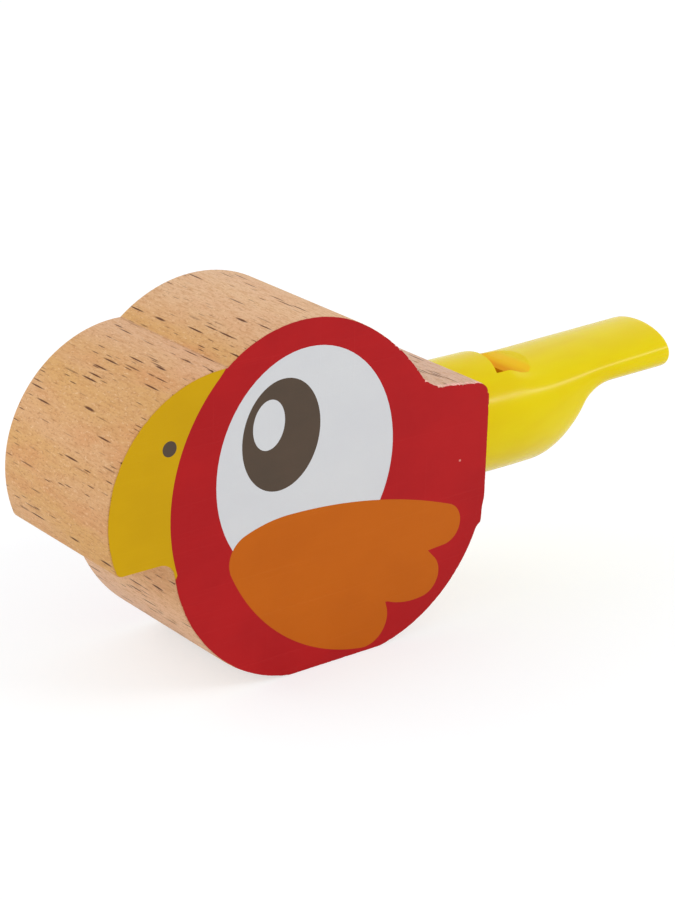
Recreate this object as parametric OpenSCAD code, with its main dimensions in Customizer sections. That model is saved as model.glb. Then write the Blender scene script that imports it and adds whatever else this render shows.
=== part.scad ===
// Wooden bird whistle: a flat beech bird, printed on both faces, with a
// moulded whistle pressed into its tail.
// X runs from the beak to the mouthpiece, Y through the thickness, Z up.
// The origin is the centre of the flat under the belly.

/* [Block] */
// Thickness of the beech block
block_t = 24; // [18:0.5:32]
// Length of the flat under the belly
flat_l = 15.5; // [12:0.5:19]
// How far the flat is planed into the round belly
flat_cut = 0.35; // [0.2:0.05:0.7]
// Radius of the chest, below the beak
chest_r = 22.7; // [21.5:0.1:24]
// Radius of the belly, below the tail
belly_r = 22.1; // [21:0.1:23]
// Distance from the middle of the flat to the rear face
rear_x = 25.6; // [24:0.1:25.8]

/* [Head] */
// Radius of the crown
head_r = 19.6; // [18.5:0.1:20.5]
// Distance of the crown's centre in front of the origin
head_back = 6.2; // [5:0.1:7.5]
// Height of the crown's centre
head_z = 29.8; // [28.5:0.1:31]
// Radius of the nape, which runs from the crown to the tail
nape_r = 30.2; // [28:0.1:32]
// Angle above the horizontal at which the nape leaves the crown
nape_a = 61.7; // [57:0.1:66]

/* [Beak] */
// Radius of the beak
beak_r = 17.5; // [16.8:0.1:18.5]
// Distance of the beak's centre in front of the origin
beak_back = 18.6; // [18:0.1:20]
// Height of the beak's centre
beak_z = 27.8; // [27:0.1:29]
// Height of the beak's lower edge
jaw_z = 20.9; // [19.5:0.1:22]
// Radius of the corner at the front of the lower edge
jaw_corner_r = 1.2; // [0.6:0.1:2]
// Radius of the fillet between the beak and the chest
throat_r = 2.2; // [1:0.1:3]

/* [Tail] */
// Height of the tail's top edge where the nape ends
tail_z = 35.5; // [34.6:0.1:36.4]
// Fall of the tail's top edge towards the rear face
tail_fall = 0.6; // [0:0.05:0.8]
// Radius of the hollow between the nape and the tail
hollow_r = 6.5; // [4.5:0.1:8]
// Radius of the tail's upper corner
tail_corner_r = 2.5; // [1:0.1:3]
// Wood under the whistle's socket at the rear face
foot_wall = 1.8; // [1.2:0.1:2.4]
// How far the rear face leans in at its lower corner
foot_in = 0.45; // [0.2:0.05:0.8]

/* [Print] */
// Thickness of the printed colours
coat_t = 0.12; // [0.06:0.01:0.3]
// Bare edge left round the print by sanding
coat_margin = 0.3; // [0.1:0.05:0.8]
// Radius of the line where the red meets the beak
bib_r = 25.1; // [22:0.1:28]
// How far the lower end of that line lies inside the throat
bib_inset = 0.5; // [0.3:0.05:0.8]
// Height of the red band over the white of the eye
brow = 3.8; // [3:0.1:5]
// Width of the white of the eye
eye_w = 28.6; // [26:0.2:30]
// Height of the white of the eye
eye_h = 32; // [29:0.2:33.5]
// Width of the pupil
pupil_w = 12.4; // [9:0.2:14]
// Height of the pupil
pupil_h = 15.2; // [12:0.2:17]
// Lean of the pupil and its glint towards the tail
pupil_lean = 6; // [0:0.5:12]
// Width of the glint in the pupil
glint_w = 5; // [3:0.1:6]
// Height of the glint in the pupil
glint_h = 6.8; // [4:0.1:8]
// Diameter of the nostril
nostril_d = 2.1; // [1.2:0.1:3]
// Distance from the red to the nostril
nostril_gap = 1; // [0.6:0.1:1.6]

/* [Wing] */
// Radius of the long upper edge of the wing
wing_top_r = 78; // [66:1:96]
// Radius of the long lower edge of the wing
wing_low_r = 28.2; // [25:0.1:31]
// Radius of the shoulder, between the upper edge and the front end
wing_shoulder_r = 20; // [17:0.5:24]
// Radius of the round front end of the wing
wing_front_r = 3.8; // [3.2:0.1:4.6]
// Red left between the upper feather and the rear face
feather1_gap = 4.3; // [3:0.1:6]
// Radius of the upper feather's end
feather1_r = 3; // [2.5:0.1:3.4]
// Radius of the middle feather's end
feather2_r = 3.2; // [2.7:0.1:3.6]
// Radius of the middle feather's lower edge
feather2_low_r = 11; // [9:0.1:13]
// Radius of the lower feather's end
feather3_r = 3.9; // [3.4:0.1:4.4]

/* [Whistle barrel] */
// Outer diameter of the whistle barrel
barrel_d = 17.4; // [16:0.1:17.6]
// Wall of the barrel
barrel_wall = 1.2; // [0.9:0.1:1.6]
// Height of the barrel's axis above the flat
barrel_z = 24.8; // [24:0.1:25.2]
// Length of barrel inside the block
barrel_in = 16; // [12:0.5:20]
// Length of barrel from the rear face to the lip
barrel_out = 8.7; // [7:0.1:10]
// Gap for glue round the barrel and behind its end
socket_gap = 0.1; // [0.05:0.05:0.3]

/* [Sound window] */
// Length of the open window between the lip and the roof edge
window_l = 3; // [2:0.1:4]
// Width of the window
window_w = 9.5; // [8:0.1:10]
// Radius of the lip's edge, which bows out towards the window
lip_bow_r = 14.5; // [12:0.5:20]
// Radius of the scoop that leads down to the roof edge
scoop_r = 8.5; // [7:0.1:10]
// Thickness of the roof edge at the window
roof_edge = 0.8; // [0.5:0.1:1]
// Length of the sloping underside behind the lip
lip_bevel_l = 8; // [5:0.5:10]

/* [Mouthpiece] */
// Length of the mouthpiece from the lip to the tip
mouth_l = 31.6; // [29:0.1:36]
// Width of the tip
tip_w = 13.8; // [13:0.1:14.4]
// Width of the mouthpiece next to the barrel
neck_w = 14.9; // [14.5:0.1:16]
// Height of the tip
tip_h = 6.7; // [6.4:0.1:7.4]
// Height of the arched top above the mouthpiece's widest level
arch_rise = 3.6; // [3.2:0.1:4]
// Height of the middle of the tip above the barrel's axis
tip_rise = 4.65; // [4.4:0.05:4.9]
// Fall of the top edge from the tip to the lip
neck_fall = 1; // [0.6:0.05:1.2]
// Length of round barrel behind the lip's edge
neck_back = 1.2; // [0.5:0.1:1.9]
// Length over which the round barrel turns into the mouthpiece
neck_l = 4; // [3.5:0.1:5]
// Radius of the rounded rim of the tip
rim_r = 0.6; // [0.4:0.1:1]
// Straight length of the chamber's underside behind the lip
keel_l = 7.4; // [7:0.1:9]
// Radius of the curve that ends the chamber's underside
keel_r = 7.5; // [7:0.1:9]
// Radius of the hollow curve under the mouthpiece
chin_r = 6.4; // [5.5:0.1:7]

/* [Windway] */
// Width of the air slot
windway_w = 8.8; // [7.5:0.1:9.2]
// Height of the air slot
windway_h = 1.3; // [0.8:0.1:1.6]
// Thickness of the block that forms the floor of the air slot
insert_h = 2.3; // [1.8:0.1:2.6]
// Height of the slot's roof above the barrel's axis, at the window
windway_rise = 5.2; // [4.9:0.05:5.4]
// Upward slope of the air slot towards the tip
windway_a = 2; // [1.5:0.1:2.3]
// Gap on each side of the windway block
insert_gap = 0.05; // [0.02:0.01:0.1]
// Distance from the tip to the end of the windway block
insert_recess = 0.6; // [0:0.1:2]

/* [Chamber plug] */
// Thickness of the plug's flange behind the barrel
plug_flange = 1.2; // [0.8:0.1:2]
// Length of the plug's spigot inside the barrel
plug_spigot = 3; // [2:0.1:5]
// Gap round the plug's spigot
plug_gap = 0.05; // [0.02:0.01:0.1]

/* [Hidden] */

// Overrun of cutting shapes past the faces that they cut
over = 1;
// How far straight edges run inside the arcs that they touch
tuck = 0.01;
// How far touching arcs overlap, so that they cross at a clear point
lap = 0.002;
// How far the moulded neck starts inside the barrel
neck_lap = 3;
// How much smaller the neck is than the barrel where it starts
neck_ease = 0.02;
// Sides of the neck's rings and of the printed ovals
ring_n = 40;
oval_n = 72;

// Half the length that a flat planed into a circle takes
function half_flat(r) = sqrt(r * r - (r - flat_cut) * (r - flat_cut));
// The point at distance d and angle a from point c
function polar(c, d, a) = [c.x + d * cos(a), c.y + d * sin(a)];
// Angle of the line from point p to point q
function bearing(p, q) = atan2(q.y - p.y, q.x - p.x);
// Where a straight edge from point p touches the disc at c, on one side
function touch(c, r, p, side) = polar(c, r - tuck, bearing(c, p) + side * acos(r / norm(p - c)));
// Where the circle at c1 crosses the circle at c2, on one side
function meet(c1, r1, c2, r2, side) = let(d = norm(c2 - c1))
    polar(c1, r1, bearing(c1, c2) + side * acos((d * d + r1 * r1 - r2 * r2) / (2 * d * r1)));
// Corner between two feather ends: s gives its share of the gap between
// them, and how far in it lies as a share of the second end's radius
function cusp(c1, r1, c2, r2, s) = let(a = bearing(c1, c2), gap = norm(c2 - c1) - r1 - r2)
    polar(polar(c1, r1 + gap * s.x, a), r2 * s.y, a - 90);
// Smooth step from 0 to 1
function ease(t) = let(u = min(1, max(0, t))) u * u * (3 - 2 * u);

// Centres of the arcs of the bird's outline, as [x, z]
chest_c = [half_flat(chest_r) - flat_l / 2, chest_r - flat_cut];
belly_c = [flat_l / 2 - half_flat(belly_r), belly_r - flat_cut];
head_c = [-head_back, head_z];
nape_c = polar(head_c, head_r - nape_r - lap, nape_a);
hollow_z = tail_z + hollow_r;
hollow_c = [nape_c.x + sqrt(pow(nape_r + hollow_r - lap, 2) - pow(hollow_z - nape_c.y, 2)), hollow_z];
tail_c = [rear_x - tail_corner_r, tail_z - tail_fall - tail_corner_r];
foot_z = barrel_z - barrel_d / 2 - socket_gap - foot_wall;
foot_a = -27.5;
beak_c = [-beak_back, beak_z];
jaw_drop = beak_z - jaw_z - jaw_corner_r;
jaw_c = [beak_c.x - sqrt(pow(beak_r - jaw_corner_r + lap, 2) - pow(jaw_drop, 2)), jaw_z + jaw_corner_r];
throat_z = jaw_z - throat_r;
throat_c = [chest_c.x - sqrt(pow(chest_r + throat_r - lap, 2) - pow(chest_c.y - throat_z, 2)),
    throat_z];

// Notch between the crown and the beak, and the foot of the red's edge
notch_c = meet(head_c, head_r, beak_c, beak_r, -1);
bib_foot = polar(chest_c, chest_r - bib_inset, bearing(chest_c, throat_c));
// The red's edge is an arc from the notch to its foot
bib_c = meet(notch_c, bib_r, bib_foot, bib_r, 1);
nostril_a = 158.3;
nostril_c = polar(bib_c, bib_r + nostril_gap + nostril_d / 2, nostril_a);

// Places of the pupil and the glint, as shares of what they lie in
eye_share = 0.034;
pupil_shares = [-0.145, 0.154];
glint_shares = [-0.163, 0.115];
eye_c = [head_c.x + head_r * eye_share, head_c.y + head_r - brow - eye_h / 2];
pupil_c = [eye_c.x + eye_w * pupil_shares.x, eye_c.y + eye_h * pupil_shares.y];
glint_c = [pupil_c.x + pupil_w * glint_shares.x, pupil_c.y + pupil_h * glint_shares.y];

// Highest and lowest points of the wing, as shares of the chest radius
wing_top_shares = [-0.361, 1.022];
wing_low_shares = [0.194, 0.0286];
wing_low_a = 82.2;
wing_top_p = chest_r * wing_top_shares;
wing_low_p = chest_r * wing_low_shares;
wing_top_c = polar(wing_top_p, wing_top_r, -90);
wing_low_c = polar(wing_low_p, wing_low_r, wing_low_a);
// The upper and lower feathers end in circles that touch the long edges
feather1_x = rear_x - feather1_gap - feather1_r;
feather1_side = wing_top_r - feather1_r + lap;
feather1_c = [feather1_x, wing_top_c.y + sqrt(pow(feather1_side, 2) - pow(feather1_x - wing_top_c.x, 2))];
feather3_c = polar(wing_low_p, feather3_r - lap, wing_low_a);
// The middle feather's end touches its own lower edge
feather2_shares = [0.568, 0.384];
feather2_a = 99;
feather2_c = [rear_x * feather2_shares.x, chest_r * feather2_shares.y];
feather2_low_c = polar(feather2_c, feather2_low_r - feather2_r + lap, feather2_a);
cusp1_shares = [0.74, 0.22];
cusp2_shares = [0.98, 0.09];
cusp1 = cusp(feather1_c, feather1_r, feather2_c, feather2_r, cusp1_shares);
cusp2 = cusp(feather2_c, feather2_r, feather3_c, feather3_r, cusp2_shares);
// The shoulder follows the upper edge in front of its highest point
wing_shoulder_c = polar(wing_top_p, wing_shoulder_r - lap, -90);
// The front end is a circle that touches the shoulder and the lower edge
wing_front_c = meet(wing_shoulder_c, wing_shoulder_r - wing_front_r + lap,
    wing_low_c, wing_low_r - wing_front_r + lap, 1);

// Stations along the whistle
barrel_r = barrel_d / 2;
chamber_r = barrel_r - barrel_wall;
barrel_x0 = rear_x - barrel_in;
lip_x = rear_x + barrel_out;
roof_x = lip_x + window_l;
neck_x = lip_x + neck_back;
tip_x = lip_x + mouth_l;
tip_z = barrel_z + tip_rise;
keel_x = lip_x + keel_l;
keel_z = barrel_z - barrel_r;
chin_z = tip_z - tip_h / 2;
keel_c = [keel_x, keel_z + keel_r];
chin_c = [keel_x + sqrt(pow(keel_r + chin_r, 2) - pow(chin_z - keel_z - keel_r - chin_r, 2)),
    chin_z - chin_r];
// Where the two curves of the underside meet
turn_x = keel_c.x + (chin_c.x - keel_c.x) * keel_r / (keel_r + chin_r);
roof_z = barrel_z + windway_rise;
socket_r = barrel_r + socket_gap;
socket_x = barrel_x0 - plug_flange - socket_gap;
// The chamber narrows before the window and ends round
narrow_x = lip_x - neck_l;
end_r = neck_w / 2 - barrel_wall;
end_x = keel_x;
shelf_z = roof_z - windway_h - insert_h - barrel_wall / 2;

// Share of the round barrel in the section at x, and of the mouthpiece left
function round_share(x) = 1 - ease((x - neck_x) / neck_l);
function left_share(x) = (tip_x - x) / mouth_l;
// Half width, top, widest height and underside of the whistle at x
function flat_w(x) = (tip_w + (neck_w - tip_w) * left_share(x)) / 2;
function half_w(x) = flat_w(x) + (barrel_r - flat_w(x)) * round_share(x);
function line_z(x) = tip_z + tip_h / 2 - neck_fall * left_share(x);
function top_z(x) = line_z(x) + (barrel_z + barrel_r - line_z(x)) * round_share(x);
function arch_h(x) = arch_rise + (barrel_r - arch_rise) * round_share(x);
function wide_z(x) = top_z(x) - arch_h(x);
function under_z(x) =
    x < keel_c.x ? keel_z :
    x < turn_x ? keel_c.y - sqrt(keel_r * keel_r - pow(x - keel_c.x, 2)) :
    x < chin_c.x ? chin_c.y + sqrt(chin_r * chin_r - pow(chin_c.x - x, 2)) :
    chin_z;

// Power that fills out the lower half of a ring at x: 1 for a true circle
fill_share = 0.13;
function fill(x) = 1 - fill_share * (1 - round_share(x));
// One ring of the whistle at x, drawn in by d
function ring(x, d) = [for (i = [0:ring_n - 1])
    let(a = 360 * i / ring_n, up = cos(a) > 0, p = up ? 1 : fill(x))
    [x, (half_w(x) - d) * sign(sin(a)) * pow(abs(sin(a)), p),
        wide_z(x) + sign(cos(a)) * pow(abs(cos(a)), p)
            * ((up ? arch_h(x) : wide_z(x) - under_z(x)) - d)]];

// Stations of the rings: the neck, the curves of the underside, the rim
neck_xs = [for (s = [0:1 / 6:1]) neck_x + s * neck_l];
keel_xs = [for (s = [0:1 / 6:1]) keel_x + s * (turn_x - keel_x)];
chin_xs = [for (s = [1 / 4:1 / 4:1]) turn_x + s * (chin_c.x - turn_x)];
rim_x = tip_x - rim_r;
rings = concat(
    [ring(neck_x - neck_lap, neck_ease)],
    [for (x = neck_xs) ring(x, neck_ease)],
    [for (x = keel_xs) ring(x, neck_ease)],
    [for (x = chin_xs) ring(x, neck_ease)],
    [for (a = [0:22.5:90]) ring(rim_x + rim_r * sin(a), neck_ease + rim_r * (1 - cos(a)))]);

// Closed solid over a list of rings with equal numbers of points
module loft(list) {
    n = len(list[0]);
    last = len(list) - 1;
    points = [for (r = list) each r];
    sides = [for (k = [0:last - 1]) for (i = [0:n - 1])
        let(j = (i + 1) % n, a = k * n, b = a + n)
        each [[a + i, a + j, b + i], [a + j, b + j, b + i]]];
    polyhedron(points, concat(
        [[for (i = [n - 1:-1:0]) i]],
        sides,
        [[for (i = [0:n - 1]) last * n + i]]));
}

// Disc at a point of the face
module disc(c, r) {
    translate(c) circle(r, $fn = 96);
}

// Oval at a point of the face, leaning by a
module oval(c, w, h, a = 0) {
    translate(c) rotate(-a)
        polygon([for (i = [0:oval_n - 1]) [w / 2 * cos(360 * i / oval_n), h / 2 * sin(360 * i / oval_n)]]);
}

// Chest, belly and the flat between them
module breast_2d(g) {
    disc(chest_c, chest_r - g);
    // Only the lower half of the belly's disc, so that the nape stays clear
    intersection() {
        disc(belly_c, belly_r - g);
        translate([0, -over]) square(belly_c + [belly_r, 2 * over]);
    }
    polygon([[chest_c.x, g], [belly_c.x, g], belly_c, chest_c]);
}

// Crown and nape
module head_2d(g) {
    disc(head_c, head_r - g);
    intersection() {
        disc(nape_c, nape_r - g);
        polygon([nape_c, polar(nape_c, 2 * nape_r, nape_a), [2 * nape_r, hollow_c.y],
            [2 * nape_r, belly_c.y]]);
    }
}

// Tail with its hollow, its rounded corner and its foot
module tail_2d(g) {
    difference() {
        polygon([chest_c, belly_c,
            polar(belly_c, belly_r - over, foot_a),
            [rear_x - foot_in - g, foot_z + g / 2],
            [rear_x - g, belly_c.y],
            [rear_x - g, tail_c.y], [tail_c.x, tail_c.y], [tail_c.x, tail_c.y + tail_corner_r - g],
            [hollow_c.x, tail_z - g], hollow_c, nape_c]);
        disc(hollow_c, hollow_r + g);
    }
    disc(tail_c, tail_corner_r - g);
}

// Beak with its rounded jaw and the fillet of the throat
module beak_2d(g) {
    jaw_a = bearing(beak_c, jaw_c);
    // Upper part, above the line from the beak's centre to the jaw
    intersection() {
        disc(beak_c, beak_r - g);
        polygon([beak_c, polar(beak_c, 2 * beak_r, jaw_a), [-3 * beak_r, 3 * beak_r],
            [0, 3 * beak_r], [0, beak_z]]);
    }
    // Lower part, down to the lower edge
    polygon([beak_c, jaw_c, [jaw_c.x, jaw_z + g], [throat_c.x, jaw_z + g], chest_c]);
    disc(jaw_c, jaw_corner_r - g);
    // Throat
    difference() {
        polygon([chest_c, [throat_c.x, jaw_z + g], throat_c]);
        disc(throat_c, throat_r + g);
    }
}

// Outline of the bird, drawn in by g
module bird_2d(g = 0) {
    intersection() {
        union() {
            breast_2d(g);
            head_2d(g);
            tail_2d(g);
            beak_2d(g);
        }
        translate([-2 * beak_back - beak_r, g])
            square([2 * beak_back + beak_r + rear_x - g, head_z + 2 * head_r]);
    }
}

// Printed fields of the face
module beak_field_2d() {
    reach = 2 * bib_r;
    up = polar(bib_foot, reach, bearing(bib_foot, notch_c));
    down = polar(notch_c, reach, bearing(notch_c, bib_foot));
    difference() {
        intersection() {
            bird_2d(coat_margin);
            polygon([up, down, down - [reach, 0], up - [reach, 0]]);
        }
        disc(bib_c, bib_r);
    }
}

module wing_2d() {
    // Long edges, cut back to the feathers' edges
    intersection() {
        disc(wing_top_c, wing_top_r);
        disc(wing_low_c, wing_low_r);
        polygon([wing_top_p + [0, over],
            polar(wing_low_c, wing_low_r + over, -90 - wing_low_a / 2),
            polar(wing_low_c, 2 * wing_low_r, bearing(wing_low_c, feather3_c)),
            feather3_c,
            touch(feather3_c, feather3_r, cusp2, -1),
            cusp2,
            touch(feather2_c, feather2_r, cusp2, 1),
            feather2_c,
            touch(feather2_c, feather2_r, cusp1, -1),
            cusp1,
            touch(feather1_c, feather1_r, cusp1, 1),
            feather1_c,
            polar(wing_top_c, 2 * wing_top_r, bearing(wing_top_c, feather1_c))]);
    }
    // Shoulder, cut back to the front end
    intersection() {
        disc(wing_shoulder_c, wing_shoulder_r);
        disc(wing_low_c, wing_low_r);
        polygon([wing_front_c,
            polar(wing_low_c, 2 * wing_low_r, bearing(wing_low_c, wing_front_c)),
            polar(wing_low_c, 2 * wing_low_r, bearing(wing_low_c, feather3_c)),
            feather3_c,
            wing_top_p + [over, over],
            polar(wing_shoulder_c, 2 * wing_shoulder_r, bearing(wing_shoulder_c, wing_front_c))]);
    }
    // Swelling of the middle feather's lower edge
    intersection() {
        disc(feather2_low_c, feather2_low_r);
        polygon([cusp2, feather2_c,
            polar(feather2_c, feather2_low_r, feather2_a - 180),
            polar(cusp2, feather2_low_r, feather2_a - 180)]);
    }
    disc(wing_front_c, wing_front_r);
    disc(feather1_c, feather1_r);
    disc(feather2_c, feather2_r);
    disc(feather3_c, feather3_r);
}

module eye_2d() {
    oval(eye_c, eye_w, eye_h);
}

module pupil_2d() {
    oval(pupil_c, pupil_w, pupil_h, pupil_lean);
}

module glint_2d() {
    oval(glint_c, glint_w, glint_h, pupil_lean);
}

// A printed field on the front face, side -1, or on the back, side 1
module coat(side) {
    place = side < 0 ? -block_t / 2 : block_t / 2 + coat_t;
    translate([0, place, 0]) rotate([90, 0, 0]) linear_extrude(coat_t) children();
}

module red_coat(side) {
    color([0.68, 0.14, 0.15]) coat(side) difference() {
        bird_2d(coat_margin);
        beak_field_2d();
        eye_2d();
        wing_2d();
    }
}

module beak_print(side) {
    color([0.78, 0.62, 0.04]) coat(side) difference() {
        beak_field_2d();
        disc(nostril_c, nostril_d / 2);
    }
}

module eye_white(side) {
    color([0.82, 0.83, 0.84]) coat(side) difference() {
        eye_2d();
        pupil_2d();
        wing_2d();
    }
}

module pupil_print(side) {
    color([0.35, 0.3, 0.25]) coat(side) difference() {
        pupil_2d();
        glint_2d();
        wing_2d();
    }
}

module eye_glint(side) {
    color([0.82, 0.83, 0.84]) coat(side) glint_2d();
}

module nostril_print(side) {
    color([0.33, 0.29, 0.22]) coat(side) disc(nostril_c, nostril_d / 2);
}

module wing_print(side) {
    color([0.74, 0.38, 0.12]) coat(side) wing_2d();
}

// Rod along X from x0 to x1 on the barrel's axis
module axial(x0, x1, r1, r2) {
    translate([x0, 0, barrel_z]) rotate([0, 90, 0]) cylinder(x1 - x0, r1, r2, $fn = 96);
}

// Prism of an [x, z] outline, w wide, centred on the block
module across(w) {
    translate([0, w / 2, 0]) rotate([90, 0, 0]) linear_extrude(w) children();
}

// Block with the socket for the barrel bored into its rear face
module beech_block() {
    color([0.8, 0.62, 0.44]) difference() {
        across(block_t) bird_2d();
        axial(socket_x, rear_x + over, socket_r, socket_r);
    }
}

// Tunnel through the mouthpiece, from the window to past the tip
module tunnel(w, h, drop, x0, x1) {
    translate([roof_x, 0, roof_z]) rotate([0, -windway_a, 0])
        translate([x0, -w / 2, -drop - h]) cube([x1 - x0, w, h]);
}

// Space inside the barrel, narrowing before the window, with a round end
module chamber() {
    axial(barrel_x0 - over, narrow_x, chamber_r, chamber_r);
    axial(narrow_x, lip_x, chamber_r, end_r);
    axial(lip_x, end_x, end_r, end_r);
    translate([end_x, 0, barrel_z]) sphere(end_r, $fn = 64);
}

// Window behind the bowed lip, and the scoop that leads down to it
module window() {
    intersection() {
        translate([0, 0, shelf_z]) linear_extrude(barrel_d) difference() {
            translate([lip_x - lip_bow_r, -window_w / 2])
                square([lip_bow_r + window_l + scoop_r, window_w]);
            disc([lip_x - lip_bow_r, 0], lip_bow_r);
        }
        across(2 * window_w) {
            translate([lip_x - window_l, shelf_z]) square([2 * window_l, barrel_d]);
            disc([roof_x, roof_z + roof_edge + scoop_r], scoop_r);
        }
    }
}

// Moulding: barrel, lip, window and mouthpiece in one piece
module whistle_body() {
    color([0.91, 0.82, 0.1]) {
        difference() {
            union() {
                axial(barrel_x0, neck_x, barrel_r, barrel_r);
                loft(rings);
            }
            difference() {
                chamber();
                // Shelf that carries the windway block
                translate([roof_x, -barrel_d, shelf_z]) cube([mouth_l, 2 * barrel_d, barrel_d]);
                // Sloping underside of the lip
                across(2 * barrel_d) polygon([[lip_x, roof_z - windway_h / 2],
                    [lip_x, barrel_z + barrel_d], [lip_x - lip_bevel_l, barrel_z + barrel_d],
                    [lip_x - lip_bevel_l, barrel_z + chamber_r]]);
            }
            window();
            tunnel(windway_w, windway_h + insert_h, 0, -over, mouth_l + over);
        }
    }
}

// Block that fills the tunnel up to the floor of the air slot
module windway_block() {
    color([0.88, 0.78, 0.1])
        tunnel(windway_w - 2 * insert_gap, insert_h, windway_h, 0,
            (mouth_l - window_l - insert_recess) / cos(windway_a));
}

// Cap that closes the end of the barrel inside the block
module chamber_plug() {
    color([0.91, 0.82, 0.1]) {
        axial(barrel_x0 - plug_flange, barrel_x0, barrel_r, barrel_r);
        axial(barrel_x0, barrel_x0 + plug_spigot, chamber_r - plug_gap, chamber_r - plug_gap);
    }
}

beech_block();
whistle_body();
windway_block();
chamber_plug();
red_coat(-1);  // front_red_coat
beak_print(-1);  // front_beak_print
eye_white(-1);  // front_eye_white
pupil_print(-1);  // front_pupil_print
eye_glint(-1);  // front_eye_glint
nostril_print(-1);  // front_nostril_print
wing_print(-1);  // front_wing_print
red_coat(1);  // back_red_coat
beak_print(1);  // back_beak_print
eye_white(1);  // back_eye_white
pupil_print(1);  // back_pupil_print
eye_glint(1);  // back_eye_glint
nostril_print(1);  // back_nostril_print
wing_print(1);  // back_wing_print
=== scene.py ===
"""Wooden bird whistle: beech block with printed faces and a moulded whistle.

The scene is in metres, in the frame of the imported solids: X from the beak to
the mouthpiece, Y through the thickness, Z up, floor at zero. Sizes named in
capitals are in millimetres, and MM takes them to metres.
"""

import math

import bmesh
import bpy
from mathutils import Matrix, Vector, noise
from mathutils.bvhtree import BVHTree


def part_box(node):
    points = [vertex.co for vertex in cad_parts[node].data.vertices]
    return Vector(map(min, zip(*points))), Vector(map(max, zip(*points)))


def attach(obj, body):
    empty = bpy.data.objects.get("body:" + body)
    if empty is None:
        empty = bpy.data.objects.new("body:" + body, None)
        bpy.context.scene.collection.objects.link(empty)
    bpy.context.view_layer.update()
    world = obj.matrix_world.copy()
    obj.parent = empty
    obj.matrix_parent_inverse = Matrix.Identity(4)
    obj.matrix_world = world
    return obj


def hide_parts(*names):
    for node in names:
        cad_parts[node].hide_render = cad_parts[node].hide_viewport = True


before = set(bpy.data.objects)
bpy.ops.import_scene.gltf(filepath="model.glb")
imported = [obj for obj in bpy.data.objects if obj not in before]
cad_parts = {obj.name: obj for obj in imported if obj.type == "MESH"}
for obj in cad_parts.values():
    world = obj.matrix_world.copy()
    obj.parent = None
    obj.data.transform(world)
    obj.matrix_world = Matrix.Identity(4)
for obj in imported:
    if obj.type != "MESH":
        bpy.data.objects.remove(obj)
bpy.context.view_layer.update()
scene = bpy.context.scene

MM = 0.001
BODY = "root"


# Materials

def ink(r, g, b):
    """Linear colour of a shade given in 0 to 255."""
    def linear(c):
        c = c / 255
        return c / 12.92 if c <= 0.04045 else ((c + 0.055) / 1.055) ** 2.4
    return (linear(r), linear(g), linear(b), 1.0)


class NodeWork:
    """Puts nodes into a tree and feeds their sockets."""

    def __init__(self, tree):
        self.tree = tree

    def node(self, kind, **settings):
        """A new node with its settings made."""
        made = self.tree.nodes.new(kind)
        for key, value in settings.items():
            setattr(made, key, value)
        return made

    def feed(self, socket, value):
        """Links a node's output into a socket, or sets the socket."""
        if isinstance(value, bpy.types.NodeSocket):
            self.tree.links.new(value, socket)
        else:
            socket.default_value = value


# The mix node's colour sockets, which go by number as their names repeat
MIX_UNDER = 6
MIX_OVER = 7
MIX_RESULT = 2


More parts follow.
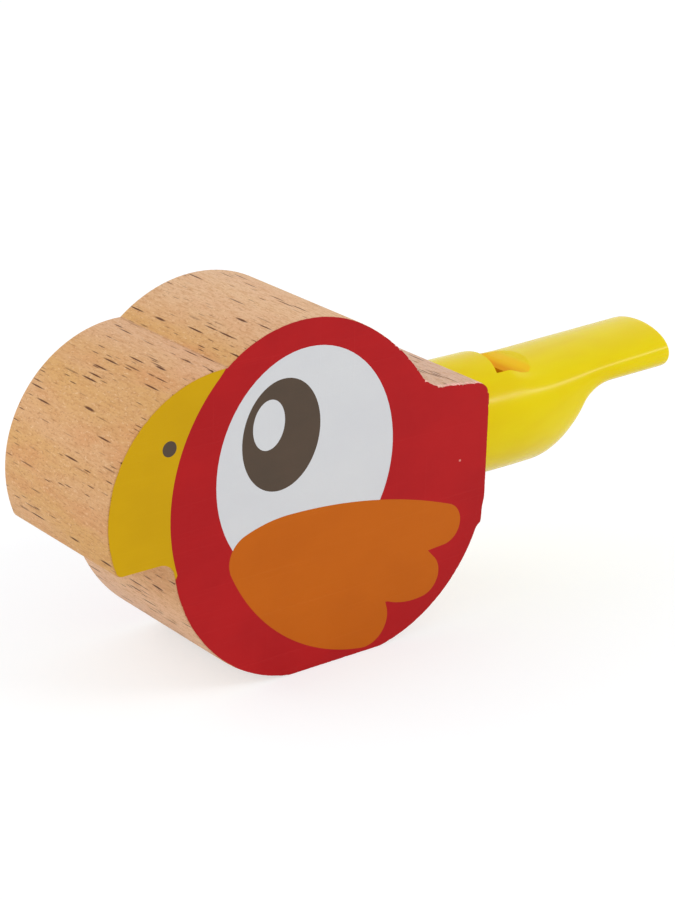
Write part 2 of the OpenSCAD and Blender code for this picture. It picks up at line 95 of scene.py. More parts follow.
class Finish(NodeWork):
    """A node material, with short words for the nodes that it is made of."""

    def __init__(self, name, specular):
        self.material = bpy.data.materials.new(name)
        self.material.use_nodes = True
        super().__init__(self.material.node_tree)
        self.shader = self.tree.nodes["Principled BSDF"]
        self.shader.inputs["Specular IOR Level"].default_value = specular
        self.place = self.node("ShaderNodeTexCoord").outputs["Object"]

    def stretched(self, x, y, z, shift=(0.0, 0.0, 0.0)):
        """Coordinates counted in cells of x, y and z millimetres."""
        made = self.node("ShaderNodeMapping")
        self.feed(made.inputs["Vector"], self.place)
        made.inputs["Scale"].default_value = (1 / (x * MM), 1 / (y * MM), 1 / (z * MM))
        made.inputs["Location"].default_value = shift
        return made.outputs["Vector"]

    def noise(self, vector, detail=2.0, rough=0.5, warp=0.0):
        """Cloudy noise with one patch or so to a cell."""
        made = self.node("ShaderNodeTexNoise")
        self.feed(made.inputs["Vector"], vector)
        made.inputs["Scale"].default_value = 1.0
        made.inputs["Detail"].default_value = detail
        made.inputs["Roughness"].default_value = rough
        made.inputs["Distortion"].default_value = warp
        return made.outputs["Fac"]

    def cells(self, vector):
        """Distance to the nearest of scattered points, and a chance for each."""
        made = self.node("ShaderNodeTexVoronoi")
        self.feed(made.inputs["Vector"], vector)
        made.inputs["Scale"].default_value = 1.0
        parts = self.node("ShaderNodeSeparateColor")
        self.feed(parts.inputs["Color"], made.outputs["Color"])
        return made.outputs["Distance"], parts.outputs["Red"]

    def span(self, value, low, high, to_low=0.0, to_high=1.0):
        """Value from low to high, carried over softly to to_low to to_high."""
        made = self.node("ShaderNodeMapRange", interpolation_type="SMOOTHSTEP")
        self.feed(made.inputs["Value"], value)
        made.inputs["From Min"].default_value = low
        made.inputs["From Max"].default_value = high
        made.inputs["To Min"].default_value = to_low
        made.inputs["To Max"].default_value = to_high
        return made.outputs["Result"]

    def reckon(self, operation, a, b=0.0):
        """One step of arithmetic."""
        made = self.node("ShaderNodeMath", operation=operation)
        self.feed(made.inputs[0], a)
        self.feed(made.inputs[1], b)
        return made.outputs[0]

    def times(self, a, b):
        """Product of two values."""
        return self.reckon("MULTIPLY", a, b)

    def blend(self, share, under, over):
        """One colour with the given share of another over it."""
        made = self.node("ShaderNodeMix", data_type="RGBA", blend_type="MIX")
        self.feed(made.inputs["Factor"], share)
        self.feed(made.inputs[MIX_UNDER], under)
        self.feed(made.inputs[MIX_OVER], over)
        return made.outputs[MIX_RESULT]

    def axis(self, letter):
        """A point's X, Y or Z in metres."""
        parts = self.node("ShaderNodeSeparateXYZ")
        self.feed(parts.inputs[0], self.place)
        return parts.outputs[letter]

    def zone(self, letter, low, high, to_low=0.0, to_high=1.0):
        """A span along X, Y or Z, with its ends in millimetres."""
        return self.span(self.axis(letter), low * MM, high * MM, to_low, to_high)

    def colour(self, value):
        """Sets the surface's colour."""
        self.feed(self.shader.inputs["Base Color"], value)

    def roughness(self, value):
        """Sets how dull the surface is."""
        self.feed(self.shader.inputs["Roughness"], value)

    def bump(self, height, depth, strength):
        """Relief of the given depth in millimetres."""
        made = self.node("ShaderNodeBump")
        made.inputs["Strength"].default_value = strength
        made.inputs["Distance"].default_value = depth * MM
        self.feed(made.inputs["Height"], height)
        self.feed(self.shader.inputs["Normal"], made.outputs["Normal"])


# Shades of the beech, with a painted sheen for the crown, painted floor light for the chest and
# painted shade for the crease
TAN = ink(215, 166, 104)
PINK_TAN = ink(218, 170, 122)
ORANGE_TAN = ink(213, 152, 100)
CROWN_PAINTED_SHEEN = ink(228, 190, 156)
CHEST_PAINTED_FLOOR_LIGHT = ink(238, 198, 162)
TAIL_TONE = ink(214, 182, 164)
BEAK_TOP_TONE = ink(222, 178, 144)
CREASE_PAINTED_SHADE = ink(150, 104, 66)
FIBRE_TONE = ink(190, 134, 84)
PORE_TONE = ink(168, 112, 66)
SPECK_TONE = ink(242, 206, 164)
RAY_TONE = ink(90, 48, 20)
CHIP_TONE = ink(252, 192, 184)

# The crease between crown and beak on the block
CREASE_X = -18.3
CREASE_Z = 45.4

# The share of a ray's width that is fully dark, and the share of the chances
# over which rays go from absent to fully drawn
RAY_CORE = 0.45
RAY_FADE = 0.25


def broad_tones(f):
    """Tan with pinker and orange patches, a painted sheen paler on the crown, painted light
    from the floor paler on the chest, and paler towards the tail.
    """
    bands = f.noise(f.stretched(8.0, 50.0, 8.0), detail=3.0, rough=0.55, warp=0.4)
    wood = f.blend(f.span(bands, 0.36, 0.64), TAN, PINK_TAN)
    orange = f.noise(f.stretched(5.0, 18.0, 5.0, (7.0, 2.0, 4.0)), detail=3.0, rough=0.6)
    wood = f.blend(f.span(orange, 0.44, 0.66, 0.0, 0.7), wood, ORANGE_TAN)
    # Painted sheen: the crown's top is made paler, standing in for the white surroundings it
    # catches
    wood = f.blend(f.zone("Z", 46, 49.4, 0.0, 0.6), wood, CROWN_PAINTED_SHEEN)
    # Painted light: the chest is made paler towards the bottom, standing in for light thrown up
    # from the floor
    wood = f.blend(f.zone("Z", 8, 20, 0.9, 0.0), wood, CHEST_PAINTED_FLOOR_LIGHT)
    return f.blend(f.zone("X", 6, 16, 0.0, 0.8), wood, TAIL_TONE)


def creased(f, wood):
    """Pinker tone where the beak's top runs up to the crown, and a dark line of painted shade
    in the crease between them.
    """
    across = f.reckon("SUBTRACT", f.axis("X"), CREASE_X * MM)
    rising = f.span(across, -9 * MM, -1 * MM)
    ending = f.span(across, 0.0, 0.3 * MM, 1.0, 0.0)
    wood = f.blend(f.times(f.times(rising, ending), 0.75), wood, BEAK_TOP_TONE)
    # Painted shade: a thin dark line along the bottom of the crease
    up = f.reckon("SUBTRACT", f.axis("Z"), CREASE_Z * MM)
    squares = f.reckon("ADD", f.reckon("POWER", across, 2.0), f.reckon("POWER", up, 2.0))
    line = f.span(f.reckon("SQRT", squares), 0.06 * MM, 0.24 * MM, 1.0, 0.0)
    return f.blend(f.times(line, 0.40), wood, CREASE_PAINTED_SHADE)


def grained(f, wood, fibres):
    """Fine fibres, pores and pale specks."""
    pores = f.noise(f.stretched(0.20, 0.50, 0.20), rough=0.6)
    specks = f.noise(f.stretched(0.24, 0.70, 0.24, (3.0, 8.0, 5.0)), rough=0.6)
    wood = f.blend(f.span(fibres, 0.44, 0.68, 0.0, 0.48), wood, FIBRE_TONE)
    wood = f.blend(f.span(pores, 0.52, 0.72, 0.0, 0.52), wood, PORE_TONE)
    return f.blend(f.span(specks, 0.56, 0.74, 0.0, 0.50), wood, SPECK_TONE)


def flecks(f, across, along, width, chance, shift):
    """Short dark rays of the beech, lens shaped, lying along the grain."""
    near, luck = f.cells(f.stretched(across, along, across, shift))
    mark = f.span(near, width * RAY_CORE, width, 1.0, 0.0)
    drawn = f.span(luck, 1 - chance, 1 - chance + RAY_FADE)
    return f.times(mark, drawn)


def dark_rays(f):
    """Tiny rays in patches, long ones and broad soft ones all over."""
    tiny = flecks(f, across=0.38, along=4.0, width=0.26, chance=0.55, shift=(0.3, 0.7, 0.1))
    long = flecks(f, across=0.60, along=8.5, width=0.26, chance=0.62, shift=(4.3, 1.7, 2.1))
    broad = flecks(f, across=1.25, along=8.5, width=0.19, chance=0.52, shift=(5.1, 2.2, 7.3))
    patch = f.span(f.noise(f.stretched(7.0, 9.0, 7.0, (3.0, 1.0, 2.0))), 0.38, 0.56, 0.15, 0.9)
    return f.reckon("MAXIMUM", f.times(tiny, patch), f.reckon("MAXIMUM", long, broad))


def ink_chips(f):
    """Chipped ink on the sanded edge of the tail, beside the red field."""
    side = f.reckon("ABSOLUTE", f.axis("Y"))
    edge = f.span(side, 11.25 * MM, 11.60 * MM)
    worn = f.span(f.noise(f.stretched(0.40, 0.7, 0.40), detail=3.0, rough=0.6), 0.48, 0.54)
    tail = f.times(f.zone("X", 4, 9), f.zone("Z", 29, 33))
    return f.times(f.times(edge, worn), tail)


def beech_finish():
    """Steamed beech, cut along a profile whose grain runs through the block."""
    f = Finish("beech", specular=0.20)
    fibres = f.noise(f.stretched(0.30, 2.0, 0.30), detail=4.0, rough=0.66)
    rays = dark_rays(f)
    wood = grained(f, creased(f, broad_tones(f)), fibres)
    wood = f.blend(f.times(rays, 0.98), wood, RAY_TONE)
    f.colour(f.blend(f.times(ink_chips(f), 0.9), wood, CHIP_TONE))
    f.roughness(f.span(fibres, 0.3, 0.7, 0.50, 0.64))
    f.bump(f.reckon("SUBTRACT", f.times(fibres, 0.5), rays), depth=0.06, strength=0.8)
    return f.material


def print_finish(name, shade, dark, light, chips=None):
    """Screen print: even colour with faint drawn lines and small flaws."""
    f = Finish(name, specular=0.10)
    level = f.noise(f.stretched(14.0, 14.0, 10.0), detail=3.0, rough=0.6)
    colour = f.blend(f.span(level, 0.35, 0.65), shade, dark)
    # Lines left by the squeegee, along the print and across it
    along = f.noise(f.stretched(30.0, 5.0, 0.22))
    across = f.noise(f.stretched(0.22, 5.0, 30.0, (4.0, 0.0, 1.0)))
    lines = f.reckon("MAXIMUM", f.span(along, 0.60, 0.74), f.span(across, 0.64, 0.78))
    colour = f.blend(f.times(lines, 0.12), colour, light)
    if chips:
        # Small ragged flaws at a few of the scattered points
        near, luck = f.cells(f.stretched(2.6, 2.6, 2.2))
        ragged = f.span(f.noise(f.stretched(0.3, 0.3, 0.3)), 0.3, 0.7, -0.03, 0.03)
        spot = f.span(f.reckon("ADD", near, ragged), 0.055, 0.075, 1.0, 0.0)
        flaw = f.times(spot, f.span(luck, 0.955, 0.965))
        colour = f.blend(f.times(flaw, 0.8), colour, chips)
    f.colour(colour)
    grit = f.noise(f.stretched(0.35, 0.35, 0.35), detail=3.0, rough=0.6)
    f.roughness(f.span(grit, 0.3, 0.7, 0.36, 0.50))
    f.bump(f.reckon("ADD", grit, lines), depth=0.012, strength=0.5)
    return f.material


def plastic_finish(name, shade, deep, recess_painted_bounce, recess_painted_shade):
    """Glossy moulded plastic, slightly see-through, with faint flow marks, and painted shade
    and bounce light in its window's hollow.
    """
    f = Finish(name, specular=0.11)
    flow = f.noise(f.stretched(16.0, 5.0, 5.0), warp=0.3)
    colour = f.blend(f.span(flow, 0.35, 0.65), shade, deep)
    # Painted light and shade: faces deep in the window's hollow are made warmer and then
    # darker, for light thrown from wall to wall and the shade down there
    hollow = f.node("ShaderNodeAttribute", attribute_name="hollow").outputs["Fac"]
    colour = f.blend(f.span(hollow, 0.0, 0.35), colour, recess_painted_bounce)
    colour = f.blend(f.span(hollow, 0.35, 1.0), colour, recess_painted_shade)
    f.colour(colour)
    f.shader.inputs["Subsurface Weight"].default_value = 0.22
    f.shader.inputs["Subsurface Radius"].default_value = (1.0, 0.55, 0.05)
    f.shader.inputs["Subsurface Scale"].default_value = 2.2 * MM
    ripple = f.noise(f.stretched(3.5, 2.0, 2.0), detail=3.0, rough=0.6)
    gloss = f.span(ripple, 0.3, 0.7, 0.19, 0.25)
    f.roughness(f.reckon("ADD", gloss, f.times(hollow, 0.5)))
    f.bump(ripple, depth=0.015, strength=0.2)
    return f.material


BEECH = beech_finish()
RED = print_finish("red_print", ink(180, 24, 28), ink(173, 22, 27), ink(196, 46, 46),
                   chips=ink(226, 150, 140))
YELLOW = print_finish("yellow_print", ink(207, 163, 0), ink(202, 158, 0), ink(218, 176, 20))
WHITE = print_finish("white_print", ink(215, 217, 220), ink(212, 214, 218), ink(222, 223, 226))
BROWN = print_finish("brown_print", ink(88, 73, 61), ink(83, 70, 59), ink(100, 86, 74))
ORANGE = print_finish("orange_print", ink(196, 99, 12), ink(192, 96, 11), ink(208, 116, 34))
# The last two shades are painted bounce light and painted shade for the window's hollow
PLASTIC = plastic_finish("yellow_plastic", ink(230, 208, 0), ink(227, 201, 0),
                         ink(240, 192, 0), ink(226, 150, 0))

PRINTS = {
    "red_coat": ("red_print", RED),
    "beak_print": ("yellow_print", YELLOW),
    "eye_white": ("white_print", WHITE),
    "pupil_print": ("brown_print", BROWN),
    "eye_glint": ("white_print", WHITE),
    "nostril_print": ("brown_print", BROWN),
    "wing_print": ("orange_print", ORANGE),
}


# Pieces

# Points closer together than this are one point
SAME_PLACE = 0.001


def clamped(t):
    """A value held between 0 and 1."""
    return min(1.0, max(0.0, t))


def mesh_of(bm, name):
    """Makes a mesh of a bmesh and frees it."""
    mesh = bpy.data.meshes.new(name)
    bm.to_mesh(mesh)
    bm.free()
    return mesh


def as_object(mesh, name):
    """Puts a mesh into the scene as an object."""
    made = bpy.data.objects.new(name, mesh)
    scene.collection.objects.link(made)
    return made


def taken_back(made):
    """An object's mesh as a bmesh; the object goes."""
    bm = bmesh.new()
    bm.from_mesh(made.data)
    bpy.data.objects.remove(made)
    return bm


def joined_copy(node):
    """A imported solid's mesh with its loose triangles joined into faces."""
    bm = bmesh.new()
    bm.from_mesh(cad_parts[node].data)
    bmesh.ops.remove_doubles(bm, verts=bm.verts, dist=SAME_PLACE * MM)
    bmesh.ops.dissolve_limit(bm, angle_limit=math.radians(0.4), verts=bm.verts,
                             edges=bm.edges)
    return bm


def finished(bm, name, material, node, sharp):
    """Makes the piece of a bmesh, which stands for the given solid."""
    mesh = mesh_of(bm, name)
    if "custom_normal" in mesh.attributes:
        mesh.attributes.remove(mesh.attributes["custom_normal"])
    for face in mesh.polygons:
        face.use_smooth = True
    mesh.set_sharp_from_angle(angle=math.radians(sharp))
    mesh.materials.append(material)
    piece = as_object(mesh, name)
    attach(piece, BODY)
    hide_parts(node)
    return piece


# The rounding of the sanded edges, and the least turn, in radians, between two
# faces that makes their edge one of them
SANDED = 0.15
EDGE_TURN = 1.0


def sanded_block():
    """The beech block, with its faces' edges sanded round."""
    bm = joined_copy("beech_block")
    half = max(abs(v.co.y) for v in bm.verts)
    rim = []
    for edge in bm.edges:
        on_face = all(abs(abs(v.co.y) - half) < SAME_PLACE * MM for v in edge.verts)
        if on_face and len(edge.link_faces) == 2 and edge.calc_face_angle() > EDGE_TURN:
            rim.append(edge)
    bmesh.ops.bevel(bm, geom=rim, offset=SANDED * MM, offset_type="OFFSET", segments=3,
                    profile=0.5, affect="EDGES", material=-1, clamp_overlap=True)
    finished(bm, "sanded_block", BEECH, "beech_block", sharp=30.0)


def rim_tree():
    """The block's sides without its two faces, to find what lies near them."""
    bm = bmesh.new()
    bm.from_mesh(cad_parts["beech_block"].data)
    faces = [f for f in bm.faces if abs(f.normal.y) > 0.5]
    bmesh.ops.delete(bm, geom=faces, context="FACES_ONLY")
    tree = BVHTree.FromBMesh(bm)
    bm.free()
    return tree


RIM = rim_tree()
# Takes a point of the print to just inside the board's thickness
WITHIN = 0.98
# A print's outline closer to the rim than this is worn, in steps of this length
NEAR_RIM = 0.36
WEAR_STEP = 0.22
# How far the wear goes in from the rim: on the front, on the back, added at the
# beak, and the depth of the nibbles, everywhere and added over the tail
WORN_FRONT = 0.04
WORN_BACK = 0.15
WORN_BEAK = 0.10
NIBBLES = 0.10
TAIL_NIBBLES = 0.42


def wear(point):
    """How far inside the block's outline the print ends near a point."""
    x, z = point.x / MM, point.z / MM
    base = WORN_FRONT if point.y < 0 else WORN_BACK
    # The tail begins at x 4 and z 30 mm, and the beak at x -16 mm
    tail = clamped((x - 4) / 5) * clamped((z - 30) / 4)
    beak = clamped((-16 - x) / 4)
    # Two sizes of nibble, of about 0.3 and 1.2 mm
    fine = noise.noise(Vector((x * 3.0, z * 3.0, 3.0)))
    coarse = noise.noise(Vector((x * 0.8, z * 0.8, 9.0)))
    nibbled = max(0.0, 0.6 * fine + 0.5 * coarse)
    return (base + WORN_BEAK * beak + (NIBBLES + TAIL_NIBBLES * tail) * nibbled) * MM


def nearest_on_rim(point):
    """The rim's point nearest to one of the print's, and its distance."""
    place, _, _, gap = RIM.find_nearest(Vector((point.x, point.y * WITHIN, point.z)))
    return place, gap


def fray(bm):
    """Nibbles the outline of a printed field where it meets the block's edge."""
    outer = []
    for edge in bm.edges:
        _, gap = nearest_on_rim((edge.verts[0].co + edge.verts[1].co) / 2)
        if edge.is_boundary and gap < NEAR_RIM * MM:
            outer.append(edge)
    for edge in outer:
        cuts = int(edge.calc_length() / (WEAR_STEP * MM))
        if cuts:
            bmesh.ops.subdivide_edges(bm, edges=[edge], cuts=cuts)
    for vert in bm.verts:
        if not vert.is_boundary:
            continue
        place, gap = nearest_on_rim(vert.co)
        if gap < NEAR_RIM * MM:
            inward = Vector((vert.co.x - place.x, 0.0, vert.co.z - place.z)).normalized()
            vert.co.xz = (place + inward * wear(vert.co)).xz


def printed_field(side, field):
    """One printed colour: the solid's face, worn at the block's outline."""
    slot, material = PRINTS[field]
    node = f"{side}_{field}"
    bm = joined_copy(node)
    out = -1 if side == "front" else 1
    others = [f for f in bm.faces if f.normal.y * out < 0.5]
    bmesh.ops.delete(bm, geom=others, context="FACES")
    if field in ("red_coat", "beak_print"):
        fray(bm)
    low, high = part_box(node)
    bmesh.ops.triangulate(bm, faces=bm.faces)
    grown = bmesh.ops.extrude_face_region(bm, geom=bm.faces[:])
    moved = [g for g in grown["geom"] if isinstance(g, bmesh.types.BMVert)]
    bmesh.ops.translate(bm, verts=moved, vec=(0.0, -out * (high.y - low.y), 0.0))
    bmesh.ops.recalc_face_normals(bm, faces=bm.faces)
    finished(bm, f"{side}_{field}_ink", material, node, sharp=32.0)


# The whistle's sizes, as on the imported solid
AXIS_Z = 24.8
BARREL_R = 8.7
BARREL_X = 9.6
BARREL_EDGE = 0.3
LIP_X = 34.3
LIP_BOW_R = 14.5
NECK_X = 35.5
NECK_L = 4.0
NECK_W = 14.9
ROOF_X = 37.3
TIP_X = 65.9
TIP_Z = 29.45
TIP_W = 13.8
TIP_H = 6.7
MOUTH_L = TIP_X - LIP_X
NECK_FALL = 1.0
ARCH_H = 3.6
FILL = 0.13
RIM_R = 0.6
KEEL_X = 41.7
KEEL_Z = AXIS_Z - BARREL_R
KEEL_R = 7.5
CHIN_R = 6.4
CHIN_Z = TIP_Z - TIP_H / 2
CHIN_X = KEEL_X + math.sqrt((KEEL_R + CHIN_R) ** 2 - (CHIN_Z - KEEL_Z - KEEL_R - CHIN_R) ** 2)
TURN_X = KEEL_X + (CHIN_X - KEEL_X) * KEEL_R / (KEEL_R + CHIN_R)
ROOF_Z = 30.0
WINDOW_W = 9.5
SCOOP_R = 8.5
ROOF_EDGE = 0.8
SLOT_W = 8.8
SLOT_H = 1.3
BLOCK_H = 2.3
SLOT_A = math.radians(2.0)
CHAMBER_R = 7.5
END_R = NECK_W / 2 - 1.2
NARROW_X = LIP_X - NECK_L
SHELF_Z = 25.8
BEVEL_L = 8.0

# The scene's own flank: below the neck the barrel gives way over a longer
# stretch, which comes in over so many degrees round from the top
FLANK_L = 18.0
FLANK_FROM = 40
FLANK_OVER = 24

# How far the cutters of the hollow stand past what they cut
CLEAR = 20


def ease(t):
    """A value from 0 to 1 with soft ends."""
    t = clamped(t)
    return t * t * (3 - 2 * t)


def underside(x):
    """Height of the whistle's underside at x: keel, two curves, straight."""
    if x < KEEL_X:
        return KEEL_Z
    if x < TURN_X:
        return KEEL_Z + KEEL_R - math.sqrt(KEEL_R ** 2 - (x - KEEL_X) ** 2)
    if x < CHIN_X:
        return CHIN_Z - CHIN_R + math.sqrt(CHIN_R ** 2 - (CHIN_X - x) ** 2)
    return CHIN_Z


def swollen(value, power):
    """A sine or cosine raised to a power, with its sign kept."""
    return math.copysign(abs(value) ** power, value)


def ring_point(x, turn, inward):
    """A point of the whistle's outside at x, a turn round from the top."""
    left = (TIP_X - x) / MOUTH_L
    round_by = math.degrees(math.acos(math.cos(turn)))
    blend_l = NECK_L + (FLANK_L - NECK_L) * ease((round_by - FLANK_FROM) / FLANK_OVER)
    barrel = 1 - ease((x - NECK_X) / blend_l)
    # Half width, top and arch over the widest level, from barrel to mouthpiece
    flat = (TIP_W + (NECK_W - TIP_W) * left) / 2
    width = flat + (BARREL_R - flat) * barrel
    line = TIP_Z + TIP_H / 2 - NECK_FALL * left
    top = line + (AXIS_Z + BARREL_R - line) * barrel
    arch = ARCH_H + (BARREL_R - ARCH_H) * barrel
    wide = top - arch
    # The lower half is a little fuller than an ellipse
    up = math.cos(turn) > 0
    power = 1.0 if up else 1 - FILL * (1 - barrel)
    across = (width - inward) * swollen(math.sin(turn), power)
    reach = (arch if up else wide - underside(x)) - inward
    rise = reach * swollen(math.cos(turn), power)
    return Vector((x * MM, across * MM, (wide + rise) * MM))


def chamber_point(x, turn, radius):
    """A point of the round chamber at x, a turn round from the top."""
    return Vector((x, radius * math.sin(turn), AXIS_Z + radius * math.cos(turn))) * MM


def lofted(point, stations, around=128):
    """Rings of points at the stations, bridged and closed at both ends."""
    bm = bmesh.new()
    before = None
    for x, size in stations:
        made = bmesh.ops.create_circle(bm, segments=around, radius=MM)
        for k, vert in enumerate(made["verts"]):
            vert.co = point(x, 2 * math.pi * k / around, size)
        loop = list({e for v in made["verts"] for e in v.link_edges})
        if before is None:
            first = loop
        else:
            bmesh.ops.bridge_loops(bm, edges=before + loop)
        before = loop
    for end in (first, before):
        bmesh.ops.contextual_create(bm, geom=end)
    bmesh.ops.recalc_face_normals(bm, faces=bm.faces)
    return bm


def cut_box(x0, x1, width, z0, z1, tilt=0.0, about=(0.0, 0.0)):
    """A cutting block from x0 to x1 and z0 to z1, tilted about a point."""
    bm = bmesh.new()
    size = Vector((x1 - x0, width, z1 - z0)) * MM
    middle = Vector(((x0 + x1) / 2, 0.0, (z0 + z1) / 2)) * MM
    bmesh.ops.create_cube(bm, size=1.0)
    bmesh.ops.scale(bm, vec=size, verts=bm.verts)
    bmesh.ops.translate(bm, vec=middle, verts=bm.verts)
    if tilt:
        pivot = Vector((about[0], 0.0, about[1])) * MM
        bmesh.ops.rotate(bm, cent=pivot, matrix=Matrix.Rotation(-tilt, 3, "Y"), verts=bm.verts)
    return bm


def cut_rod(centre, radius, length, lean):
    """A cutting rod about a centre, leaning from upright towards Y."""
    bm = bmesh.new()
    place = Matrix.Translation(Vector(centre) * MM) @ Matrix.Rotation(lean, 4, "X")
    bmesh.ops.create_cone(bm, cap_ends=True, segments=256, radius1=radius * MM,
                          radius2=radius * MM, depth=length * MM, matrix=place)
    return bm


def carve(target, cutters, operation="DIFFERENCE"):
    """Works the cutters on the target one by one, and takes them away."""
    for k, bm in enumerate(cutters):
        name = f"cutter_{k}"
        cutter = as_object(mesh_of(bm, name), name)
        step = target.modifiers.new("carve", "BOOLEAN")
        step.operation = operation
        step.object = cutter
        step.solver = "EXACT"
        bpy.context.view_layer.update()
        shaped = bpy.data.meshes.new_from_object(
            target.evaluated_get(bpy.context.evaluated_depsgraph_get()))
        target.modifiers.clear()
        target.data = shaped
        bpy.data.objects.remove(cutter)


def chamber_core():
    """The hollow of the whistle, less the shelf and the lip's slope."""
    stations = [(BARREL_X - 1, CHAMBER_R), (NARROW_X, CHAMBER_R), (LIP_X, END_R)]
    rings = 16
    for k in range(rings):
        a = math.pi / 2 * k / rings
        stations.append((KEEL_X + END_R * math.sin(a), END_R * math.cos(a)))
    core = as_object(mesh_of(lofted(chamber_point, stations), "core"), "core")
    shelf = cut_box(ROOF_X, ROOF_X + MOUTH_L, 2 * CLEAR, SHELF_Z, SHELF_Z + CLEAR)
    slope = cut_box(LIP_X - BEVEL_L, LIP_X, 2 * CLEAR, AXIS_Z, AXIS_Z + CLEAR)
    # The slope falls from the chamber's top to the middle of the air slot
    low = ROOF_Z - SLOT_H / 2
    for vert in slope.verts:
        if vert.co.z < (AXIS_Z + 1) * MM:
            rear = vert.co.x < (LIP_X - 1) * MM
            vert.co.z = (AXIS_Z + CHAMBER_R if rear else low) * MM
    carve(core, [shelf, slope])
    return taken_back(core)


def window_cut():
    """The sound window behind the bowed lip, with its scoop."""
    # The window starts within the lip, and the bow then takes it back
    x0 = LIP_X - 3
    opening = cut_box(x0, ROOF_X, 2 * WINDOW_W, SHELF_Z, SHELF_Z + CLEAR)
    hole = as_object(mesh_of(opening, "window"), "window")
    scoop_z = ROOF_Z + ROOF_EDGE + SCOOP_R
    scoop = cut_rod((ROOF_X, 0, scoop_z), SCOOP_R, 2 * WINDOW_W, lean=math.pi / 2)
    carve(hole, [scoop], "UNION")
    sides = cut_box(x0, ROOF_X + SCOOP_R, WINDOW_W, SHELF_Z - 1, SHELF_Z + 30)
    carve(hole, [sides], "INTERSECT")
    bow = cut_rod((LIP_X - LIP_BOW_R, 0, SHELF_Z), LIP_BOW_R, 60, lean=0.0)
    carve(hole, [bow])
    return taken_back(hole)


def hollow_depth(point):
    """How far a point lies under the whistle's outside, counted upwards, in mm."""
    low, high = 0.0, math.pi / 2
    for _ in range(16):
        turn = (low + high) / 2
        if ring_point(point.x / MM, turn, 0.0).y < abs(point.y):
            low = turn
        else:
            high = turn
    return (ring_point(point.x / MM, low, 0.0).z - point.z) / MM


# Where the window and its scoop lie, the depth under the outside from which a face counts as
# sunk, and where its painted shade and bounce light begin and over what they grow
WINDOW_FROM = 32.0
WINDOW_TO = 44.0
WINDOW_LOW = SHELF_Z - 4
SUNK = 0.05
PAINTED_SHADE_FROM = 0.25
PAINTED_SHADE_OVER = 1.25


def mark_hollow(piece):
    """Notes on the window's faces how deep they lie, for the painted shade and bounce light in
    the plastic's colour.
    """
    mesh = piece.data
    depth = mesh.attributes.new("hollow", "FLOAT", "CORNER")
    for face in mesh.polygons:
        middle = face.center / MM
        inside = WINDOW_FROM < middle.x < WINDOW_TO and abs(middle.y) < WINDOW_W / 2 + 0.01
        sunk = inside and middle.z > WINDOW_LOW and hollow_depth(face.center) > SUNK
        for corner in face.loop_indices:
            point = mesh.vertices[mesh.loops[corner].vertex_index].co
            under = hollow_depth(Vector((point.x, 0.0, point.z)))
            depth.data[corner].value = clamped((under - PAINTED_SHADE_FROM) / PAINTED_SHADE_OVER) if sunk else 0.0


def body_stations():
    """Where the whistle's rings stand along X, and how far each draws in."""
    # The barrel's softened front edge
    front = BARREL_X + BARREL_EDGE
    soft = BARREL_EDGE * 0.3
    stations = [(BARREL_X, BARREL_EDGE), (BARREL_X + soft, soft), (front, 0.0)]
    # Barrel, neck, keel with the curves behind it, and mouthpiece, each in steps
    flat_x = NECK_X + NECK_L
    last = TIP_X - RIM_R
    stretches = ((front, NECK_X, 12), (NECK_X, flat_x, 20), (flat_x, CHIN_X, 40),
                 (CHIN_X, last, 10))
    for x0, x1, steps in stretches:
        stations += [(x0 + (x1 - x0) * k / steps, 0.0) for k in range(1, steps + 1)]
    # The tip's rounded rim
    steps = 6
    for k in range(1, steps + 1):
        a = math.pi / 2 * k / steps
        stations.append((last + RIM_R * math.sin(a), RIM_R * (1 - math.cos(a))))
    return stations


def moulded_whistle():
    """Barrel, lip, window and mouthpiece, in one moulding."""
    body = as_object(mesh_of(lofted(ring_point, body_stations()), "body"), "body")
    slot = cut_box(ROOF_X - 1, TIP_X + 3, SLOT_W, ROOF_Z - SLOT_H - BLOCK_H, ROOF_Z,
                   SLOT_A, (ROOF_X, ROOF_Z))
    carve(body, [chamber_core(), window_cut(), slot])
    bm = taken_back(body)
    bmesh.ops.remove_doubles(bm, verts=bm.verts, dist=2 * SAME_PLACE * MM)
    bmesh.ops.dissolve_degenerate(bm, dist=SAME_PLACE * MM, edges=bm.edges)
    piece = finished(bm, "moulded_whistle", PLASTIC, "whistle_body",
                     sharp=34.0)
    mark_hollow(piece)


sanded_block()
for side in ("front", "back"):
    for field in PRINTS:
        printed_field(side, field)
moulded_whistle()
for node in ("windway_block", "chamber_plug"):
    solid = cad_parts[node]
    solid.data.materials.clear()
    solid.data.materials.append(PLASTIC)


# Stage

# The white that the camera sees round the object
WHITE_GLOW = (1.0, 1.0, 1.0, 1.0)
# The floor's colour for the light that it throws back on the object, and for
# the light that the camera sees on it, where it keeps the shadow soft
PAPER = (0.9, 0.9, 0.895, 1.0)
PAPER_SEEN = (0.46, 0.475, 0.49, 1.0)
# The floor's glow near the object and far off, and the distances in metres
GLOW_NEAR = 0.59
GLOW_FAR = 0.74
NEAR_BY = 0.25
FAR_OFF = 1.2


def seen_rays(work):
    """1 for the rays that show the surroundings: seen, mirrored or seen through."""
    path = work.node("ShaderNodeLightPath")
    rays = path.outputs["Is Camera Ray"]
    for other in ("Is Glossy Ray", "Is Transmission Ray"):
        both = work.node("ShaderNodeMath", operation="MAXIMUM")
        work.feed(both.inputs[0], rays)
        work.feed(both.inputs[1], path.outputs[other])
        rays = both.outputs[0]
    return rays


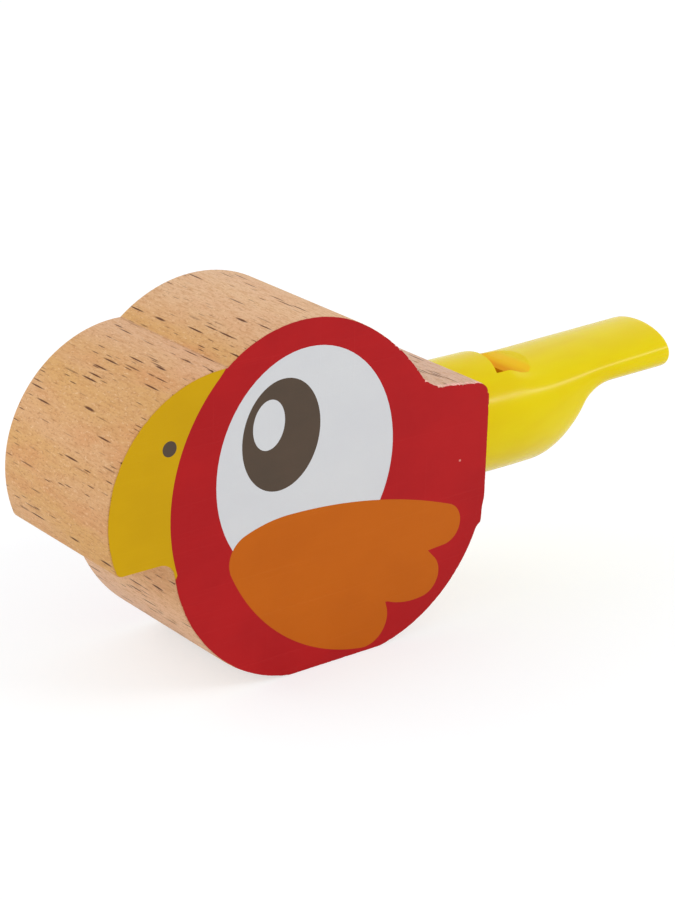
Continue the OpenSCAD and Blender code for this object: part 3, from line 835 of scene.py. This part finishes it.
def floor_paper():
    """Floor that shows white with a soft shadow, and lights the object as paper."""
    paper = bpy.data.materials.new("floor_paper")
    paper.use_nodes = True
    work = NodeWork(paper.node_tree)
    work.tree.nodes.clear()
    full = work.node("ShaderNodeBsdfDiffuse")
    full.inputs["Color"].default_value = PAPER
    faint = work.node("ShaderNodeBsdfDiffuse")
    faint.inputs["Color"].default_value = PAPER_SEEN
    glow = work.node("ShaderNodeEmission")
    glow.inputs["Color"].default_value = WHITE_GLOW
    # Far off, where less light falls, it glows a little more, so that it stays white
    place = work.node("ShaderNodeTexCoord")
    far = work.node("ShaderNodeVectorMath", operation="LENGTH")
    work.feed(far.inputs[0], place.outputs["Object"])
    rise = work.node("ShaderNodeMapRange")
    rise.inputs["From Min"].default_value = NEAR_BY
    rise.inputs["From Max"].default_value = FAR_OFF
    rise.inputs["To Min"].default_value = GLOW_NEAR
    rise.inputs["To Max"].default_value = GLOW_FAR
    work.feed(rise.inputs["Value"], far.outputs["Value"])
    work.feed(glow.inputs["Strength"], rise.outputs["Result"])
    seen = work.node("ShaderNodeAddShader")
    mix = work.node("ShaderNodeMixShader")
    out = work.node("ShaderNodeOutputMaterial")
    work.feed(seen.inputs[0], faint.outputs[0])
    work.feed(seen.inputs[1], glow.outputs[0])
    work.feed(mix.inputs[0], seen_rays(work))
    work.feed(mix.inputs[1], full.outputs[0])
    work.feed(mix.inputs[2], seen.outputs[0])
    work.feed(out.inputs["Surface"], mix.outputs[0])
    return paper


def pale_floor():
    """Plain round floor, just clear of the flat that the object stands on."""
    bm = bmesh.new()
    bmesh.ops.create_circle(bm, cap_ends=True, segments=96, radius=6.0)
    mesh = mesh_of(bm, "floor")
    mesh.materials.append(floor_paper())
    floor = as_object(mesh, "floor")
    floor.location.z = -0.02 * MM


def studio_world():
    """Even white surroundings: plain light, and white to the camera."""
    world = bpy.data.worlds.new("studio")
    scene.world = world
    world.use_nodes = True
    work = NodeWork(world.node_tree)
    work.tree.nodes.clear()
    lit = work.node("ShaderNodeBackground")
    lit.inputs["Color"].default_value = (1.0, 0.995, 0.985, 1.0)
    lit.inputs["Strength"].default_value = 0.72
    seen = work.node("ShaderNodeBackground")
    seen.inputs["Color"].default_value = WHITE_GLOW
    mix = work.node("ShaderNodeMixShader")
    out = work.node("ShaderNodeOutputWorld")
    work.feed(mix.inputs[0], seen_rays(work))
    work.feed(mix.inputs[1], lit.outputs[0])
    work.feed(mix.inputs[2], seen.outputs[0])
    work.feed(out.inputs["Surface"], mix.outputs[0])


def soft_box(name, place, aim, along, length, height, power):
    """A flat lamp at a place, facing a point, its long side lying along a direction."""
    lamp = bpy.data.lights.new(name, "AREA")
    lamp.shape = "RECTANGLE"
    lamp.size = length
    lamp.size_y = height
    lamp.energy = power
    made = bpy.data.objects.new(name, lamp)
    back = (Vector(place) - Vector(aim)).normalized()
    side = (Vector(along) - back * back.dot(Vector(along))).normalized()
    axes = Matrix((side, back.cross(side), back)).transposed()
    made.matrix_world = Matrix.Translation(place) @ axes.to_4x4()
    scene.collection.objects.link(made)


# How far the camera is turned from the printed face and tipped down, the small
# lean of the block in the picture, and where the camera stands
YAW = math.radians(38.12)
PITCH = math.radians(22.43)
LEAN = math.radians(1.8)
CAMERA_PLACE = (-189.5, -248.1, 148.4)


def photo_camera():
    """The photograph's view: level turned with the block's own small lean."""
    ahead = Vector((math.sin(YAW) * math.cos(PITCH), math.cos(YAW) * math.cos(PITCH),
                    -math.sin(PITCH)))
    right = Vector((math.cos(YAW), -math.sin(YAW), 0.0))
    up = right.cross(ahead)
    level = Matrix.Rotation(-LEAN, 3, "Y")
    axes = Matrix((level @ right, level @ up, -(level @ ahead))).transposed()
    lens = bpy.data.cameras.new("camera")
    lens.lens = 100.0
    lens.sensor_width = 36.0
    lens.sensor_fit = "AUTO"
    lens.clip_start = 0.01
    lens.clip_end = 50.0
    camera = bpy.data.objects.new("camera", lens)
    camera.matrix_world = Matrix.Translation(Vector(CAMERA_PLACE) * MM) @ axes.to_4x4()
    scene.collection.objects.link(camera)
    scene.camera = camera


pale_floor()
studio_world()
# A broad lamp high on the picture's left, and a narrow one on its right, whose
# reflection is the gloss line along the whistle
soft_box("key", place=(-0.46, 0.30, 0.42), aim=(0.0, 0.0, 0.02), along=(0, 1, 0),
         length=0.6, height=0.45, power=1.45)
soft_box("strip", place=(0.44, -0.363, 0.306), aim=(0.05, 0.0, 0.028),
         along=(0.93, 0.31, -0.2), length=0.5, height=0.036, power=1.22)
photo_camera()
scene.view_settings.view_transform = "Standard"
